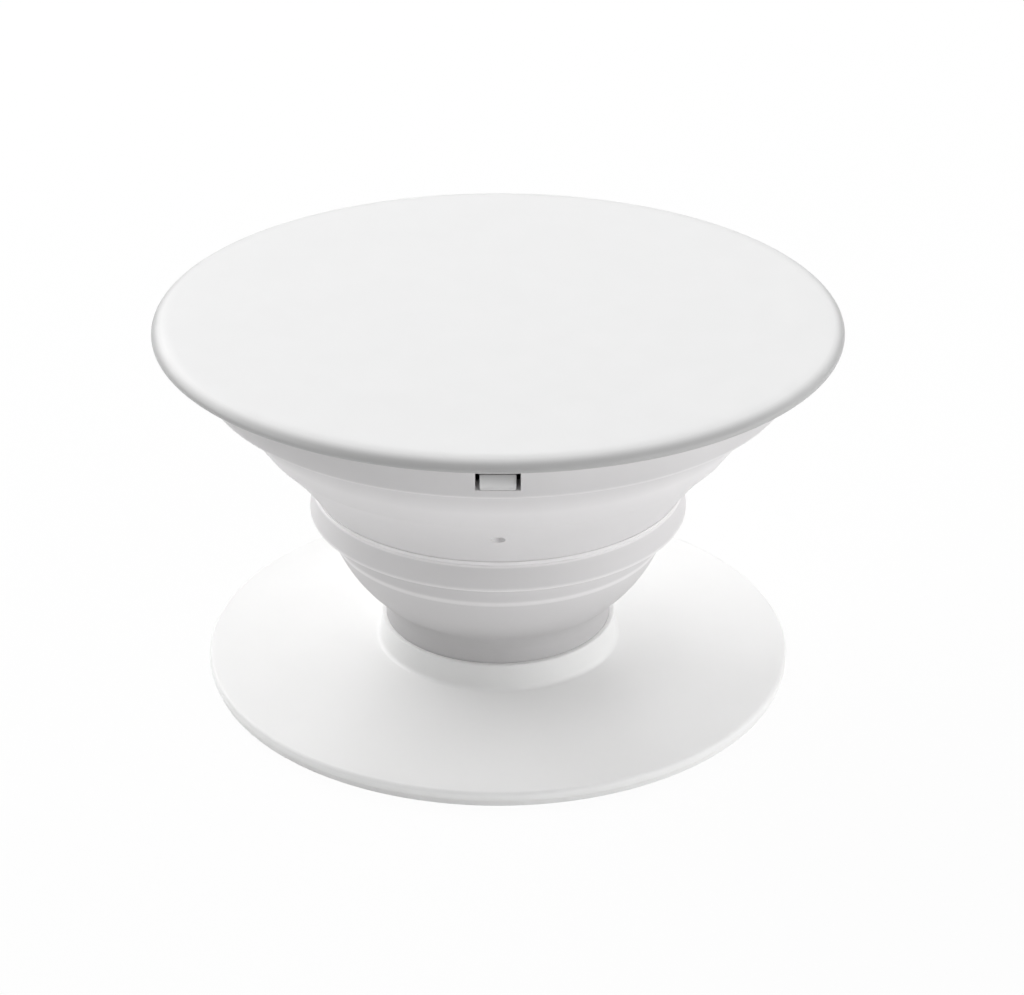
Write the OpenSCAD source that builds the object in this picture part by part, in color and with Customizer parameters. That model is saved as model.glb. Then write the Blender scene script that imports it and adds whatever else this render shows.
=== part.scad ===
// Folding phone grip: a round finger disc on a two-stage collapsible accordion, snapped
// into the collar of a thin round base that sticks to the back of a phone.
// It is drawn pulled out. Z is the axis, and Z = 0 is the underside of the adhesive pad.

/* [Disc] */
// Diameter of the disc
disc_d = 40; // [38:0.5:46]
// Thickness of the disc
disc_t = 1.15; // [0.9:0.05:2]
// Width of the rounding round the top edge
disc_round_w = 1.2; // [0.6:0.1:1.6]
// Height of the widest part of the edge above the underside
disc_edge_h = 0.6; // [0.4:0.05:0.7]
// Width of the bevel under the edge
disc_bevel_w = 1.2; // [0.8:0.1:1.5]
// Rounding between the bevel and the edge
disc_edge_r = 0.15; // [0.05:0.05:0.25]

/* [Base] */
// Diameter of the base plate
base_d = 35.3; // [33:0.1:40]
// Thickness of the plate at its rim
rim_t = 0.55; // [0.45:0.05:1]
// Rounding of the rim's top edge
rim_r = 0.22; // [0.1:0.02:0.3]
// How far the plate's top rises from the rim to the collar
plate_rise = 0.45; // [0.3:0.05:0.8]
// Thickness of the floor inside the collar
floor_t = 0.75; // [0.6:0.05:1]
// Height of the collar above the plate round it
collar_h = 1.6; // [1.2:0.1:1.9]
// Wall of the collar at its lip
collar_lip = 0.24; // [0.2:0.02:0.5]
// How much further out the collar stands at its foot
collar_flare = 0.1; // [0.1:0.05:0.6]
// Fillet between the collar and the plate
collar_fillet = 0.3; // [0.1:0.05:0.8]
// Thickness of the adhesive pad
pad_t = 0.4; // [0.3:0.05:1]
// How far the pad stops short of the rim
pad_inset = 0.15; // [0.05:0.05:1]

/* [Accordion] */
// Diameter of the neck where it turns in the collar
neck_d = 13.6; // [12.6:0.1:14.6]
// How much further out the neck stands at its top
neck_flare = 0.1; // [0:0.02:0.2]
// Wall of the neck
neck_wall = 0.95; // [0.85:0.05:1.2]
// Height of the foot and neck
neck_h = 3.4; // [2.9:0.1:4]
// Height of the lower web
lower_web_h = 4.2; // [3.5:0.05:5]
// How far the lower web bulges outward
lower_web_bow = 0.4; // [0:0.05:0.6]
// Wall of both webs
web_wall = 0.7; // [0.5:0.05:0.9]
// Diameter of the middle ring's skirt at its lower edge
skirt_d = 20; // [18.6:0.1:21]
// Height of the middle ring's skirt
skirt_h = 1.4; // [1:0.05:2]
// How far the middle ring's lip stands out past its skirt
middle_step = 1.25; // [1.1:0.05:1.5]
// Height of the middle ring above its lip
middle_h = 1.6; // [1.2:0.05:2.4]
// Draft of the middle ring's wall, from its lip to its top
middle_draft = 0.2; // [0:0.02:0.3]
// Wall of the middle ring where the skirt meets it
middle_wall = 0.7; // [0.5:0.05:0.9]
// Ledge on top of the middle ring, outside the upper web
middle_ledge = 0.15; // [0.12:0.01:0.5]
// Height of the upper web
upper_web_h = 3.9; // [3.4:0.05:5]
// How far the upper web is hollowed inward
upper_web_hollow = 0.15; // [0:0.05:0.4]
// Diameter of the vent in the upper web
vent_d = 0.72; // [0.5:0.02:1.2]
// Height of the vent, as a share of the upper web
vent_at = 0.72; // [0.4:0.02:0.85]

/* [Top ring] */
// Diameter of the crease, the lower edge of the shoulder
crease_d = 28.1; // [27:0.1:29]
// Height of the shoulder
shoulder_h = 3.4; // [2.8:0.05:4]
// Diameter of the top ring at its lower edge
ring_d = 34.3; // [33.4:0.1:36]
// Draft of the top ring's wall, from its lower edge to its top
ring_draft = 0.2; // [0:0.02:0.4]
// How far the top ring's lower edge overhangs the shoulder
ring_overhang = 0.7; // [0.4:0.05:0.9]
// Wall of the top ring at its lower edge
ring_wall = 1.3; // [1.1:0.05:1.4]
// Height of the top ring
ring_h = 2.4; // [2.3:0.05:3.2]

/* [Latches] */
// Number of latches between the disc and the top ring
latches = 4; // [2:1:6]
// Width of a latch window
window_w = 2.42; // [2:0.02:4]
// Height of a latch window
window_h = 1.05; // [0.8:0.05:1.2]
// Height of a window's sill above the lower edge of the ring
window_sill = 0.5; // [0.45:0.05:0.7]
// Clearance on each side of a hook in its window
hook_side_gap = 0.24; // [0.1:0.02:0.5]
// Clearance over a hook's catch
hook_top_gap = 0.27; // [0.05:0.01:0.4]
// Clearance under a hook
hook_sill_gap = 0.04; // [0.03:0.01:0.2]
// Thickness of a hook's leg
leg_t = 0.8; // [0.6:0.05:1.2]
// Clearance between a leg and the inside of the ring
leg_gap = 0.15; // [0.05:0.05:0.3]
// How far a hook's face stays inside the face of the ring
hook_recess = 0.05; // [0.05:0.05:0.4]
// Rounding of a hook's lower corners
hook_round = 0.2; // [0.1:0.05:0.3]

/* [Snap in the base] */
// Number of snap fingers
fingers = 4; // [2:1:6]
// Arc of each snap finger, in degrees
finger_arc = 50; // [20:1:56]
// Thickness of a finger
finger_t = 0.75; // [0.5:0.05:1.2]
// How far a finger's barb reaches over the flange
barb = 0.35; // [0.2:0.05:0.45]
// Height of a barb
barb_h = 0.8; // [0.6:0.05:1.2]
// Thickness of the flange inside the foot
flange_t = 0.7; // [0.5:0.05:0.9]
// How far the flange reaches in from the neck's wall
flange_w = 0.9; // [0.7:0.05:1.1]
// Running clearance between the turning foot and the base
spin_gap = 0.04; // [0.03:0.01:0.1]

/* [Hidden] */
$fn = 128;

// Steps in an arc, and in a web's curve
arc_steps = 6;
bow_steps = 10;
// Overlap where two shapes of one piece are joined
join = 0.2;
// Length that a cut runs past the wall it goes through
past = 1;
// Small rounding on the lips, and the bevel under them
lip_r = 0.12;
lip_bevel = 0.15;
// Angle below level at which the roundings of the middle ring's lip and the disc's edge start
lip_angle = 60;

// Levels, from the pad up
plate_z = pad_t;
rim_z = plate_z + rim_t;
collar_foot_z = rim_z + plate_rise;
collar_z = collar_foot_z + collar_h;
floor_z = plate_z + floor_t;
foot_z = floor_z + spin_gap;
flange_z = foot_z + flange_t;
neck_z = foot_z + neck_h;
skirt_z = neck_z + lower_web_h;
lip_z = skirt_z + skirt_h;
middle_z = lip_z + middle_h;
crease_z = middle_z + upper_web_h;
ring_z = crease_z + shoulder_h;
disc_z = ring_z + ring_h;
edge_z = disc_z + disc_edge_h;
top_z = disc_z + disc_t;

// Radii, from the axis out
base_r = base_d / 2;
neck_r = neck_d / 2;
neck_in_r = neck_r - neck_wall;
neck_top_r = neck_r + neck_flare;
flange_in_r = neck_in_r - flange_w;
finger_r = flange_in_r - spin_gap;
collar_in_r = neck_r + spin_gap;
collar_r = collar_in_r + collar_lip;
collar_foot_r = collar_r + collar_flare;
skirt_r = skirt_d / 2;
middle_r = skirt_r + middle_step;
middle_top_r = middle_r - middle_draft;
web_r = middle_top_r - middle_ledge;
crease_r = crease_d / 2;
ring_r = ring_d / 2;
ring_top_r = ring_r + ring_draft;
ring_in_r = ring_r - ring_wall;
shoulder_r = ring_r - ring_overhang;
disc_r = disc_d / 2;

// Walls of the sloping parts, measured level, so that each meets its ring on a flat face
lower_wall = level_wall([neck_top_r, neck_z], [skirt_r, skirt_z]);
upper_wall = level_wall([web_r, middle_z], [crease_r, crease_z]);
shoulder_slope = shoulder_h / (shoulder_r - crease_r);
shoulder_in_z = crease_z + (ring_in_r - crease_r + upper_wall) * shoulder_slope;

// Latches
sill_z = ring_z + window_sill;
head_z = sill_z + window_h;
hook_w = window_w - 2 * hook_side_gap;
hook_z = sill_z + hook_sill_gap;
catch_z = head_z - hook_top_gap;
leg_r = ring_in_r - leg_gap;
hook_r = ring_r - hook_recess;

function level_wall(a, b) = web_wall * norm(b - a) / (b[1] - a[1]);

// Points of an ellipse's arc about c, from one angle to another
function arc(c, rx, rz, from, to) =
    [for (i = [0:arc_steps])
        let (a = from + (to - from) * i / arc_steps)
        [c[0] + rx * cos(a), c[1] + rz * sin(a)]];

// Points of a line from a to b that bulges outward by s at its middle
function bow(a, b, s) =
    let (d = b - a, out = [d[1], -d[0]] / norm(d))
    [for (i = [0:bow_steps]) let (t = i / bow_steps) a + d * t + out * s * 4 * t * (1 - t)];

function reversed(p) = [for (i = [len(p) - 1:-1:0]) p[i]];

// The same curve, further in by a level distance
function moved_in(p, w) = [for (q = p) [q[0] - w, q[1]]];

module revolved(profile) {
    rotate_extrude() polygon(profile);
}

module around(count) {
    for (i = [0:count - 1]) rotate([0, 0, 360 * i / count - 90]) children();
}

// A web: one sloping wall between two rings, with a flat face at each end
module web(a, b, s, wall) {
    outside = bow(a, b, s);
    revolved(concat(outside, reversed(moved_in(outside, wall))));
}

// A finger of the base that holds down the flange of the foot
module snap_finger() {
    rotate([0, 0, -finger_arc / 2]) rotate_extrude(angle = finger_arc) polygon([
        [finger_r - finger_t, floor_z - join],
        [finger_r, floor_z - join],
        [finger_r, flange_z + spin_gap],
        [finger_r + barb, flange_z + spin_gap],
        [finger_r + barb, flange_z + spin_gap + barb_h / 4],
        [finger_r - finger_t / 3, flange_z + spin_gap + barb_h],
        [finger_r - finger_t, flange_z + spin_gap + barb_h]
    ]);
}

// The opening in the top ring that a hook catches in, drawn pointing along X
module latch_window() {
    translate([ring_in_r - past, -window_w / 2, sill_z])
        cube([ring_top_r - ring_in_r + 2 * past, window_w, window_h]);
}

// A leg under the disc, with the hook that shows in a window, drawn pointing along X
module latch_hook() {
    translate([leg_r - leg_t, -hook_w / 2, hook_z])
        cube([leg_t, hook_w, disc_z + join - hook_z]);
    side = hook_w / 2 - hook_round;
    rotate([90, 0, 90]) translate([0, 0, leg_r - join]) linear_extrude(hook_r - leg_r + join)
        polygon(concat(
            [[hook_w / 2, catch_z], [-hook_w / 2, catch_z]],
            arc([-side, hook_z + hook_round], hook_round, hook_round, 180, 270),
            arc([side, hook_z + hook_round], hook_round, hook_round, 270, 360)
        ));
}

module adhesive_pad() {
    color("gainsboro") cylinder(r = base_r - pad_inset, h = pad_t);
}

module base_plate() {
    color("white") {
        revolved(concat(
            [[0, plate_z], [base_r, plate_z]],
            arc([base_r - rim_r, rim_z - rim_r], rim_r, rim_r, 0, 90),
            reversed(arc([collar_foot_r + collar_fillet, collar_foot_z + collar_fillet],
                         collar_fillet, collar_fillet, 180, 270)),
            arc([collar_r - lip_r, collar_z - lip_r], lip_r, lip_r, 0, 90),
            [[collar_in_r, collar_z], [collar_in_r, floor_z], [0, floor_z]]
        ));
        around(fingers) snap_finger();
    }
}

module accordion_foot() {
    color("whitesmoke") revolved([
        [flange_in_r, foot_z], [neck_r, foot_z], [neck_r, collar_z], [neck_top_r, neck_z],
        [neck_top_r - lower_wall, neck_z], [neck_in_r, collar_z],
        [neck_in_r, flange_z], [flange_in_r, flange_z]
    ]);
}

module accordion_lower_web() {
    color("whitesmoke")
        web([neck_top_r, neck_z], [skirt_r, skirt_z], lower_web_bow, lower_wall);
}

module accordion_middle_ring() {
    color("whitesmoke") revolved(concat(
        [[skirt_r, skirt_z], [skirt_r + lip_bevel, lip_z - lip_bevel],
         [middle_r - lip_bevel, lip_z]],
        arc([middle_r - lip_r, lip_z + lip_r], lip_r, lip_r, -lip_angle, 0),
        arc([middle_top_r - lip_r, middle_z - lip_r], lip_r, lip_r, 0, 90),
        [[web_r - upper_wall, middle_z], [skirt_r + lip_bevel - middle_wall, lip_z],
         [skirt_r - lower_wall, skirt_z]]
    ));
}

module accordion_upper_web() {
    low = [web_r, middle_z];
    high = [crease_r, crease_z];
    slope = atan2(upper_web_h, crease_r - web_r);
    color("whitesmoke") difference() {
        web(low, high, -upper_web_hollow, upper_wall);
        // The vent lets the air out as the accordion folds
        translate([0, -(low[0] + (high[0] - low[0]) * vent_at), low[1] + upper_web_h * vent_at])
            rotate([-slope, 0, 0]) cylinder(d = vent_d, h = 4 * web_wall, center = true);
    }
}

module accordion_top_ring() {
    color("whitesmoke") difference() {
        revolved([
            [crease_r, crease_z], [shoulder_r, ring_z], [ring_r - lip_r, ring_z],
            [ring_r, ring_z + lip_r], [ring_top_r, disc_z], [ring_in_r, disc_z],
            [ring_in_r, shoulder_in_z], [crease_r - upper_wall, crease_z]
        ]);
        around(latches) latch_window();
    }
}

module top_disc() {
    color("white") {
        revolved(concat(
            [[0, disc_z], [disc_r - disc_bevel_w, disc_z]],
            arc([disc_r - disc_edge_r, edge_z], disc_edge_r, disc_edge_r, -lip_angle, 0),
            arc([disc_r - disc_round_w, edge_z], disc_round_w, top_z - edge_z, 0, 90),
            [[0, top_z]]
        ));
        around(latches) latch_hook();
    }
}

adhesive_pad();
base_plate();
accordion_foot();
accordion_lower_web();
accordion_middle_ring();
accordion_upper_web();
accordion_top_ring();
top_disc();
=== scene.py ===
# Folding phone grip, pulled out: a round finger disc on a white collapsible accordion that
# turns in the collar of a thin round base. Every piece is modelled here over its solid in the
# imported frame, in metres, with Z along the axis and the floor at Z = 0.

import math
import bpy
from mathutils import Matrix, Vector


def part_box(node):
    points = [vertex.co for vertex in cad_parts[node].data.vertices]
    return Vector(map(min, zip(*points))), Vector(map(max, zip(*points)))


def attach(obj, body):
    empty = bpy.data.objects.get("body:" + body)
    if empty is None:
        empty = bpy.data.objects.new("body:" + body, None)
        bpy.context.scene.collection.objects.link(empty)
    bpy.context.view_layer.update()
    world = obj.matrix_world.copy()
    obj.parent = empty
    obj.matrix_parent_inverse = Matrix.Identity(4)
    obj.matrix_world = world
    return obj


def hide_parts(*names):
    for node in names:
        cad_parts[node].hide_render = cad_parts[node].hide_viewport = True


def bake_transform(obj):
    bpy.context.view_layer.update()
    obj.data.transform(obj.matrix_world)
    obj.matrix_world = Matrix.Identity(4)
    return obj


bl_info = {
    "name": "Folding Phone Grip",
    "version": (1, 0, 0),
    "blender": (4, 5, 0),
    "location": "View3D > Sidebar > Phone Grip",
    "description": "Models a white folding phone grip piece by piece and sets it in a pale studio",
    "category": "Object",
}

import bmesh
import bpy
from bpy.props import FloatProperty, FloatVectorProperty, IntProperty, PointerProperty
from mathutils import Matrix, Vector

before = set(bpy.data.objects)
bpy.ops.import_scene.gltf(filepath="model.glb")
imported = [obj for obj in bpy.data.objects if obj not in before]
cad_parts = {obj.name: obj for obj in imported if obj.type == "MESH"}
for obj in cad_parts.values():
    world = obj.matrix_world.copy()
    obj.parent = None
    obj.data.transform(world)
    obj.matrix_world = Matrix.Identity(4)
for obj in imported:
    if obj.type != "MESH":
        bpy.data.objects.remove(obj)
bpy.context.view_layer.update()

MM = 0.001

# Two points closer than this are the same point
TINY = 0.002 * MM

# Vertices closer than this are merged
MERGE = TINY / 4

# Steps of a full turn, of a small rounded edge, of the disc's wide one and of a snap finger
TURN_STEPS = 192
ROUND_STEPS = 6
WIDE_STEPS = 14
FINGER_STEPS = 16

# Attribute of each vertex that keeps its height as built, so that the painted light and shade by
# height stays in place if a web is folded
REST_HEIGHT = "rest_height"

# Rings of faces taken out round the vent to make room for it
VENT_RINGS = 2

# Height under the disc over which a hook's leg has the disc's own tone
HOOK_ROOT = 0.3 * MM

# Shares of the top ring's shoulder at which its painted light is palest and at which the painted shade
# under the ring begins
SHOULDER_PAINTED_LIGHT = 0.4
SHOULDER_PAINTED_SHADE = 0.75

# An edge that folds more than this is drawn sharp
SHARP_ANGLE = math.radians(50)


def low(node):
    """Height of the underside of a solid in the frame."""
    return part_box(node)[0].z


def high(node):
    """Height of the top of a solid in the frame."""
    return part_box(node)[1].z


def radius(node):
    """Greatest radius of a solid in the frame."""
    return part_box(node)[1].x


class GripSizes(bpy.types.PropertyGroup):
    edge: FloatProperty(
        name="Edge", description="Rounding of the small moulded edges",
        default=0.08 * MM, min=0.02 * MM, max=0.15 * MM, unit="LENGTH", precision=5)
    pad_edge: FloatProperty(
        name="Pad edge", description="Rounding of the adhesive pad's cut edge",
        default=0.06 * MM, min=0.01 * MM, max=0.15 * MM, unit="LENGTH", precision=5)
    rim: FloatProperty(
        name="Rim", description="Thickness of the base plate at its rim",
        default=0.55 * MM, min=0.4 * MM, max=1 * MM, unit="LENGTH", precision=5)
    rim_round: FloatProperty(
        name="Rim rounding", description="Rounding of the rim's top edge",
        default=0.22 * MM, min=0.1 * MM, max=0.3 * MM, unit="LENGTH", precision=5)
    rim_foot: FloatProperty(
        name="Rim underside", description="Rounding of the rim's lower edge",
        default=0.08 * MM, min=0.02 * MM, max=0.15 * MM, unit="LENGTH", precision=5)
    plate_rise: FloatProperty(
        name="Plate rise", description="How far the plate's top rises from the rim to the collar",
        default=0.45 * MM, min=0.2 * MM, max=0.8 * MM, unit="LENGTH", precision=5)
    plate_floor: FloatProperty(
        name="Floor", description="Thickness of the base's floor inside the collar",
        default=0.75 * MM, min=0.5 * MM, max=1 * MM, unit="LENGTH", precision=5)
    collar_lip: FloatProperty(
        name="Collar lip", description="Wall of the collar at its lip",
        default=0.24 * MM, min=0.2 * MM, max=0.5 * MM, unit="LENGTH", precision=5)
    collar_flare: FloatProperty(
        name="Collar flare", description="How much further out the collar stands at its foot",
        default=0.1 * MM, min=0.05 * MM, max=0.6 * MM, unit="LENGTH", precision=5)
    collar_fillet: FloatProperty(
        name="Collar fillet", description="Fillet between the collar and the plate",
        default=0.3 * MM, min=0.1 * MM, max=0.8 * MM, unit="LENGTH", precision=5)
    spin_gap: FloatProperty(
        name="Running clearance", description="Clearance between the turning foot and the base",
        default=0.04 * MM, min=0.03 * MM, max=0.1 * MM, unit="LENGTH", precision=5)
    mouth_gap: FloatProperty(
        name="Mouth clearance", description="Clearance between the neck and the collar's mouth",
        default=0.01 * MM, min=0.005 * MM, max=0.04 * MM, unit="LENGTH", precision=5)
    neck_flare: FloatProperty(
        name="Neck flare", description="How much further out the neck stands at its top",
        default=0.1 * MM, min=0.0, max=0.2 * MM, unit="LENGTH", precision=5)
    neck_wall: FloatProperty(
        name="Neck wall", description="Wall of the neck",
        default=0.95 * MM, min=0.8 * MM, max=1.2 * MM, unit="LENGTH", precision=5)
    flange: FloatProperty(
        name="Flange", description="How far the foot's flange reaches in from the neck's wall",
        default=0.9 * MM, min=0.7 * MM, max=1.1 * MM, unit="LENGTH", precision=5)
    flange_thick: FloatProperty(
        name="Flange thickness", description="Thickness of the foot's flange",
        default=0.7 * MM, min=0.5 * MM, max=0.9 * MM, unit="LENGTH", precision=5)
    web: FloatProperty(
        name="Web wall", description="Wall of the two folding webs",
        default=0.7 * MM, min=0.5 * MM, max=0.9 * MM, unit="LENGTH", precision=5)
    web_root: FloatProperty(
        name="Web root", description="How far a web's lower end runs on inside its ring",
        default=0.4 * MM, min=0.0, max=0.6 * MM, unit="LENGTH", precision=5)
    web_tuck: FloatProperty(
        name="Web tuck", description="How far a web's lower end is tucked into its ring",
        default=0.05 * MM, min=0.0, max=0.2 * MM, unit="LENGTH", precision=5)
    neck_turn: FloatProperty(
        name="Neck turn", description="Length of the smooth turn from the neck into the lower web",
        default=0.6 * MM, min=0.1 * MM, max=1.2 * MM, unit="LENGTH", precision=5)
    lower_bow: FloatProperty(
        name="Lower web bulge", description="How far the lower web bulges outward",
        default=0.4 * MM, min=0.0, max=0.6 * MM, unit="LENGTH", precision=5)
    upper_hollow: FloatProperty(
        name="Upper web hollow", description="How far the upper web is hollowed inward",
        default=0.15 * MM, min=0.0, max=0.4 * MM, unit="LENGTH", precision=5)
    vent: FloatProperty(
        name="Vent", description="Diameter of the vent's mouth in the upper web",
        default=0.84 * MM, min=0.5 * MM, max=1.2 * MM, unit="LENGTH", precision=5)
    vent_edge: FloatProperty(
        name="Vent edge", description="Width of the sloping edge round the vent",
        default=0.04 * MM, min=0.02 * MM, max=0.2 * MM, unit="LENGTH", precision=5)
    vent_depth: FloatProperty(
        name="Vent depth", description="How deep the vent shows before its web closes it",
        default=0.27 * MM, min=0.05 * MM, max=0.5 * MM, unit="LENGTH", precision=5)
    vent_share: FloatProperty(
        name="Vent height", description="Height of the vent, as a share of the upper web",
        default=0.63, min=0.4, max=0.85, subtype="FACTOR")
    skirt: FloatProperty(
        name="Skirt", description="Height of the middle ring's skirt",
        default=1.4 * MM, min=1 * MM, max=2 * MM, unit="LENGTH", precision=5)
    lip_bevel: FloatProperty(
        name="Lip bevel", description="Bevel under the middle ring's lip",
        default=0.15 * MM, min=0.05 * MM, max=0.3 * MM, unit="LENGTH", precision=5)
    lip_round: FloatProperty(
        name="Lip rounding", description="Rounding of the middle ring's lip",
        default=0.12 * MM, min=0.05 * MM, max=0.4 * MM, unit="LENGTH", precision=5)
    middle_round: FloatProperty(
        name="Middle rounding", description="Rounding of the middle ring's top edge",
        default=0.12 * MM, min=0.05 * MM, max=0.2 * MM, unit="LENGTH", precision=5)
    middle_draft: FloatProperty(
        name="Middle draft", description="Draft of the middle ring's wall",
        default=0.2 * MM, min=0.0, max=0.3 * MM, unit="LENGTH", precision=5)
    middle_ledge: FloatProperty(
        name="Middle ledge", description="Ledge on the middle ring outside the upper web",
        default=0.15 * MM, min=0.1 * MM, max=0.5 * MM, unit="LENGTH", precision=5)
    ledge_fillet: FloatProperty(
        name="Ledge fillet", description="How far the fillet over the ledge runs up the upper web",
        default=0.35 * MM, min=0.05 * MM, max=0.5 * MM, unit="LENGTH", precision=5)
    middle_wall: FloatProperty(
        name="Middle wall", description="Wall of the middle ring where the skirt meets it",
        default=0.7 * MM, min=0.5 * MM, max=0.9 * MM, unit="LENGTH", precision=5)
    ring_height: FloatProperty(
        name="Ring height", description="Height of the top ring",
        default=2.4 * MM, min=2 * MM, max=3.2 * MM, unit="LENGTH", precision=5)
    ring_draft: FloatProperty(
        name="Ring draft", description="Draft of the top ring's wall",
        default=0.2 * MM, min=0.0, max=0.4 * MM, unit="LENGTH", precision=5)
    ring_overhang: FloatProperty(
        name="Ring overhang", description="How far the top ring overhangs the shoulder",
        default=0.7 * MM, min=0.4 * MM, max=0.9 * MM, unit="LENGTH", precision=5)
    ring_wall: FloatProperty(
        name="Ring wall", description="Wall of the top ring at its lower edge",
        default=1.3 * MM, min=1.1 * MM, max=1.4 * MM, unit="LENGTH", precision=5)
    ring_round: FloatProperty(
        name="Ring rounding", description="Rounding of the top ring's lower edge",
        default=0.08 * MM, min=0.05 * MM, max=0.3 * MM, unit="LENGTH", precision=5)
    disc_round: FloatProperty(
        name="Disc rounding", description="Width of the rounding round the disc's top edge",
        default=1.2 * MM, min=0.6 * MM, max=1.6 * MM, unit="LENGTH", precision=5)
    disc_edge: FloatProperty(
        name="Disc edge height", description="Height of the disc's widest part above its underside",
        default=0.6 * MM, min=0.4 * MM, max=0.7 * MM, unit="LENGTH", precision=5)
    disc_bevel: FloatProperty(
        name="Disc bevel", description="Width of the bevel under the disc's edge",
        default=1.2 * MM, min=0.8 * MM, max=1.5 * MM, unit="LENGTH", precision=5)
    disc_edge_round: FloatProperty(
        name="Disc edge rounding", description="Rounding between the disc's bevel and its edge",
        default=0.15 * MM, min=0.05 * MM, max=0.25 * MM, unit="LENGTH", precision=5)


class GripLatches(bpy.types.PropertyGroup):
    count: IntProperty(
        name="Latches", description="Number of latches between the disc and the top ring",
        default=4, min=2, max=6)
    window_width: FloatProperty(
        name="Window width", description="Width of a latch window",
        default=2.42 * MM, min=2 * MM, max=4 * MM, unit="LENGTH", precision=5)
    window_height: FloatProperty(
        name="Window height", description="Height of a latch window",
        default=1.05 * MM, min=0.8 * MM, max=1.2 * MM, unit="LENGTH", precision=5)
    sill: FloatProperty(
        name="Sill", description="Height of the window's sill above the ring's lower edge",
        default=0.5 * MM, min=0.45 * MM, max=0.7 * MM, unit="LENGTH", precision=5)
    side_gap: FloatProperty(
        name="Side gap", description="Clearance on each side of a hook in its window",
        default=0.24 * MM, min=0.1 * MM, max=0.5 * MM, unit="LENGTH", precision=5)
    top_gap: FloatProperty(
        name="Top gap", description="Clearance over a hook's catch",
        default=0.27 * MM, min=0.05 * MM, max=0.4 * MM, unit="LENGTH", precision=5)
    sill_gap: FloatProperty(
        name="Sill gap", description="Clearance under a hook",
        default=0.01 * MM, min=0.005 * MM, max=0.2 * MM, unit="LENGTH", precision=5)
    leg: FloatProperty(
        name="Leg", description="Thickness of a hook's leg",
        default=0.8 * MM, min=0.6 * MM, max=1.2 * MM, unit="LENGTH", precision=5)
    leg_gap: FloatProperty(
        name="Leg gap", description="Clearance between a leg and the inside of the ring",
        default=0.15 * MM, min=0.05 * MM, max=0.3 * MM, unit="LENGTH", precision=5)
    recess: FloatProperty(
        name="Recess", description="How far a hook's face stays inside the face of the ring",
        default=0.0, min=0.0, max=0.4 * MM, unit="LENGTH", precision=5)
    hook_round: FloatProperty(
        name="Hook rounding", description="Rounding of a hook's lower corners",
        default=0.2 * MM, min=0.1 * MM, max=0.3 * MM, unit="LENGTH", precision=5)
    hook_slant: FloatProperty(
        name="Hook slant", description="How far the top of a hook's hollowed face lies back",
        default=0.3 * MM, min=0.0, max=0.5 * MM, unit="LENGTH", precision=5)
    hook_side: FloatProperty(
        name="Hook sides", description="Rounding of a hook's upright edges",
        default=0.16 * MM, min=0.05 * MM, max=0.25 * MM, unit="LENGTH", precision=5)
    fingers: IntProperty(
        name="Snap fingers", description="Number of snap fingers in the base",
        default=4, min=2, max=6)
    finger_arc: FloatProperty(
        name="Finger arc", description="Arc of each snap finger",
        default=math.radians(50), min=math.radians(20), max=math.radians(56), subtype="ANGLE")
    finger: FloatProperty(
        name="Finger", description="Thickness of a snap finger",
        default=0.75 * MM, min=0.5 * MM, max=1.2 * MM, unit="LENGTH", precision=5)
    barb: FloatProperty(
        name="Barb", description="How far a finger's barb reaches over the flange",
        default=0.35 * MM, min=0.2 * MM, max=0.45 * MM, unit="LENGTH", precision=5)
    barb_height: FloatProperty(
        name="Barb height", description="Height of a barb",
        default=0.8 * MM, min=0.6 * MM, max=1.2 * MM, unit="LENGTH", precision=5)


# Colours and roughness of the materials, and the tones of painted light and shade that they are
# multiplied by
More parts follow.
